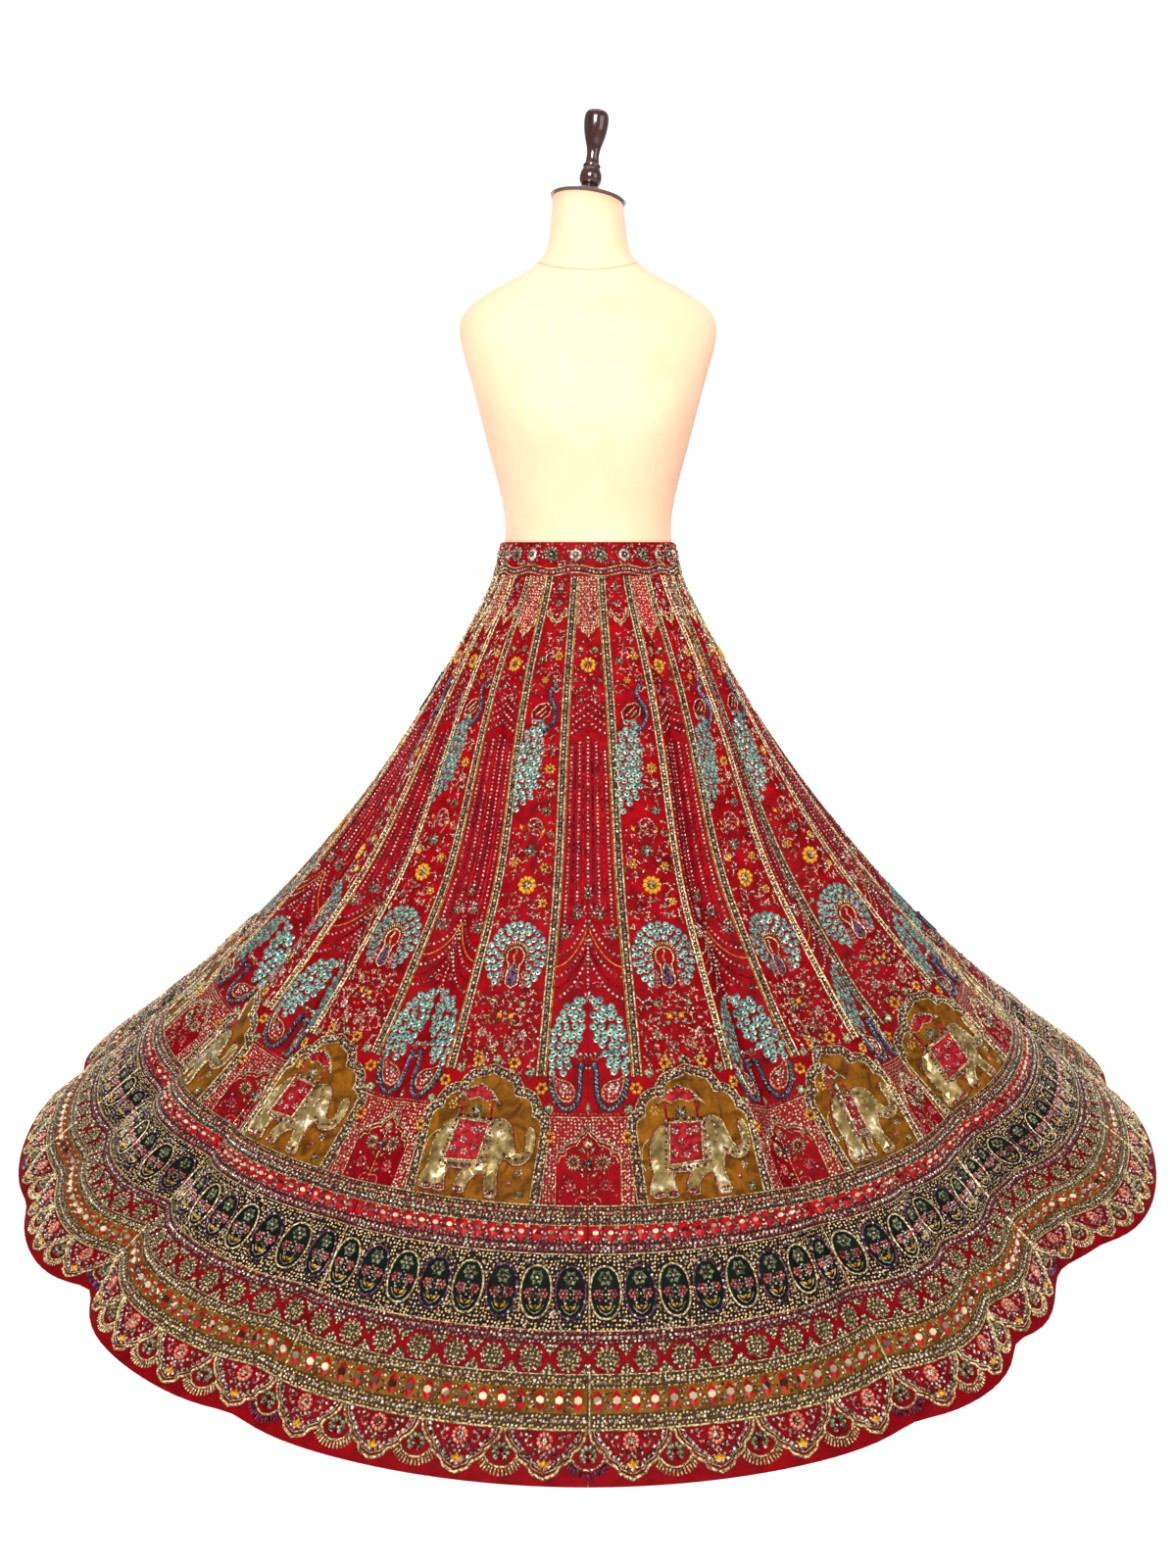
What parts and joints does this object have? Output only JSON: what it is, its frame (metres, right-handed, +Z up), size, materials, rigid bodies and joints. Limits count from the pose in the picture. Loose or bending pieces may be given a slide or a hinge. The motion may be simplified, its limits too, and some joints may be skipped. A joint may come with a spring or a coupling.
{
  "type": "lehenga skirt on a limbless dress form",
  "caption": "Floor-length flared bridal skirt of embroidered velvet panels on a waistband, resting on a limbless dress form with a turned neck cap, pole and round base.",
  "frame": {"origin": "centre of the stand base's underside, on the floor, under the middle of the waist", "axes": "+Z up, the skirt's front faces -Y, +X is the wearer's left and the right of a view from the front"},
  "size_m": [1.589, 1.5959, 1.3449],
  "materials": {
    "red_velvet": "crimson velvet with a soft sheen, worked in metal thread and beads",
    "band_cloth": "crimson velvet over stiffening, densely beaded",
    "snap_metal": "satin",
    "form_linen": "matt stretched cream cloth",
    "dark_wood": "dark gloss varnish",
    "pole_steel": "brushed"
  },
  "bodies": {
    "root": {"kali_01": "red_velvet", "kali_02": "red_velvet", "kali_03": "red_velvet", "kali_04": "red_velvet", "kali_05": "red_velvet", "kali_06": "red_velvet", "kali_07": "red_velvet", "kali_08": "red_velvet", "kali_09": "red_velvet", "kali_10": "red_velvet", "kali_11": "red_velvet", "kali_12": "red_velvet", "kali_13": "red_velvet", "kali_14": "red_velvet", "kali_15": "red_velvet", "kali_16": "red_velvet", "waistband": "band_cloth", "closure_tab": "band_cloth", "closure_snap_back": "snap_metal", "closure_snap_front": "snap_metal", "form_torso": "form_linen", "neck_cap": "dark_wood", "finial": "dark_wood", "stand_base": "dark_wood", "stand_pole": "pole_steel"}
  },
  "joints": []
}
